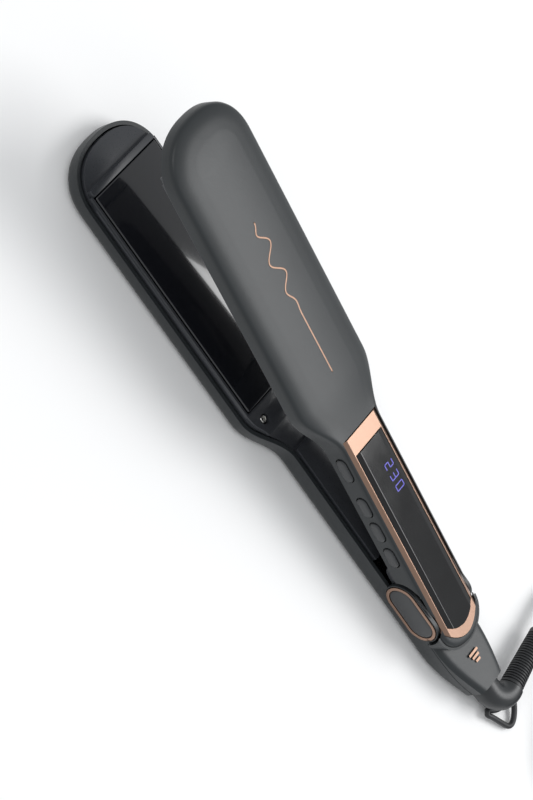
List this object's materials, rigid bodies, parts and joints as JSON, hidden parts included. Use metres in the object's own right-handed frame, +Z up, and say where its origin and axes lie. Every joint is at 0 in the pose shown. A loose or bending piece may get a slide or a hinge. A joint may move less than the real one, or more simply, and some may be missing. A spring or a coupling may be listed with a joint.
{
  "type": "flat iron",
  "caption": "Hair straightener: two spring-opened hinged arms with floating plates, digital display, side buttons, swivel cord with hanging loop and plug.",
  "frame": {"origin": "middle of the iron's length and width, on the surface it lies on", "axes": "+X towards the tip, +Y towards the side with the buttons, +Z up"},
  "size_m": [0.4132, 0.1129, 0.0675],
  "materials": {
    "casing": "satin charcoal",
    "inner_cover": "satin dark",
    "plate_coating": "glossy black ceramic coating",
    "ceramic_heater": "ceramic",
    "steel": "zinc plated",
    "sensor": "ceramic body",
    "silicone": "matte",
    "rose_gold": "rose gold plated",
    "button_plastic": "satin",
    "screw_steel": "nickel plated",
    "lens": "glossy black",
    "module": "matte",
    "circuit_board": "solder mask",
    "switch_plastic": "matte",
    "bush": "matte",
    "lead_red": "silicone sleeve",
    "lead_blue": "silicone sleeve",
    "swivel_plastic": "satin",
    "relief_rubber": "satin",
    "cord_jacket": "satin PVC",
    "plug_plastic": "moulded PVC",
    "plug_pins": "nickel plated"
  },
  "bodies": {
    "lower_arm": {"lower_shell": "casing", "tail_cover": "casing", "lower_cover": "inner_cover", "lower_pad_front": "silicone", "lower_pad_rear": "silicone", "hinge_pin": "steel", "hinge_spring": "steel", "hinge_ring_left": "rose_gold", "hinge_ring_right": "rose_gold", "hinge_cap_left": "button_plastic", "hinge_cap_right": "button_plastic", "lower_screw_neck_left": "screw_steel", "lower_screw_neck_right": "screw_steel", "swivel_bush": "bush", "heater_lead_left": "lead_red", "heater_lead_right": "lead_blue"},
    "upper_arm": {"upper_shell": "casing", "upper_cover": "inner_cover", "upper_pad_front": "silicone", "upper_pad_rear": "silicone", "upper_screw_neck_left": "screw_steel", "upper_screw_neck_right": "screw_steel", "display_frame": "rose_gold", "display_lens": "lens", "display_module": "module", "control_board": "circuit_board", "button_board": "circuit_board", "power_switch": "switch_plastic", "plus_switch": "switch_plastic", "minus_switch": "switch_plastic", "mode_switch": "switch_plastic"},
    "lower_plate": {"lower_plate": "plate_coating", "lower_heater": "ceramic_heater", "lower_heater_clamp": "steel", "lower_thermal_fuse": "sensor"},
    "upper_plate": {"upper_plate": "plate_coating", "upper_heater": "ceramic_heater", "upper_heater_clamp": "steel", "upper_thermistor": "sensor"},
    "power_button": {"power_button": "button_plastic"},
    "plus_button": {"plus_button": "button_plastic"},
    "minus_button": {"minus_button": "button_plastic"},
    "mode_button": {"mode_button": "button_plastic"},
    "swivel": {"swivel_elbow": "swivel_plastic", "strain_relief": "relief_rubber", "hanging_loop": "relief_rubber", "cord": "cord_jacket", "cord_coil": "cord_jacket", "cord_tie": "cord_jacket", "plug_body": "plug_plastic", "plug_pin_left": "plug_pins", "plug_pin_right": "plug_pins"}
  },
  "joints": [
    {"name": "arm_hinge", "type": "hinge", "parent": "lower_arm", "child": "upper_arm", "pos_m": [-0.0958, 0, 0.0146], "axis": [0, 1, 0], "range_deg": [0, 10.46], "stiffness_Nm_per_rad": 1, "springref_deg": -34.38, "deforming": ["hinge_spring"]},
    {"name": "lower_plate_float", "type": "slide", "parent": "lower_arm", "child": "lower_plate", "axis": [0, 0, -1], "range_m": [0, 0.0008], "stiffness_N_per_m": 8000, "springref_m": -0.0002, "deforming": ["lower_pad_front", "lower_pad_rear"]},
    {"name": "upper_plate_float", "type": "slide", "parent": "upper_arm", "child": "upper_plate", "axis": [-0.1816, 0, 0.9834], "range_m": [0, 0.0008], "stiffness_N_per_m": 8000, "springref_m": -0.0002, "deforming": ["upper_pad_front", "upper_pad_rear"]},
    {"name": "power_press", "type": "slide", "parent": "upper_arm", "child": "power_button", "axis": [0, -1, 0], "range_m": [0, 0.0004], "stiffness_N_per_m": 1500, "springref_m": -0.0004},
    {"name": "plus_press", "type": "slide", "parent": "upper_arm", "child": "plus_button", "axis": [0, -1, 0], "range_m": [0, 0.0004], "stiffness_N_per_m": 1500, "springref_m": -0.0004},
    {"name": "minus_press", "type": "slide", "parent": "upper_arm", "child": "minus_button", "axis": [0, -1, 0], "range_m": [0, 0.0004], "stiffness_N_per_m": 1500, "springref_m": -0.0004},
    {"name": "mode_press", "type": "slide", "parent": "upper_arm", "child": "mode_button", "axis": [0, -1, 0], "range_m": [0, 0.0004], "stiffness_N_per_m": 1500, "springref_m": -0.0004},
    {"name": "cord_swivel", "type": "hinge", "parent": "lower_arm", "child": "swivel", "pos_m": [-0.14675, 0, 0.0085], "axis": [1, 0, 0], "continuous": true}
  ]
}
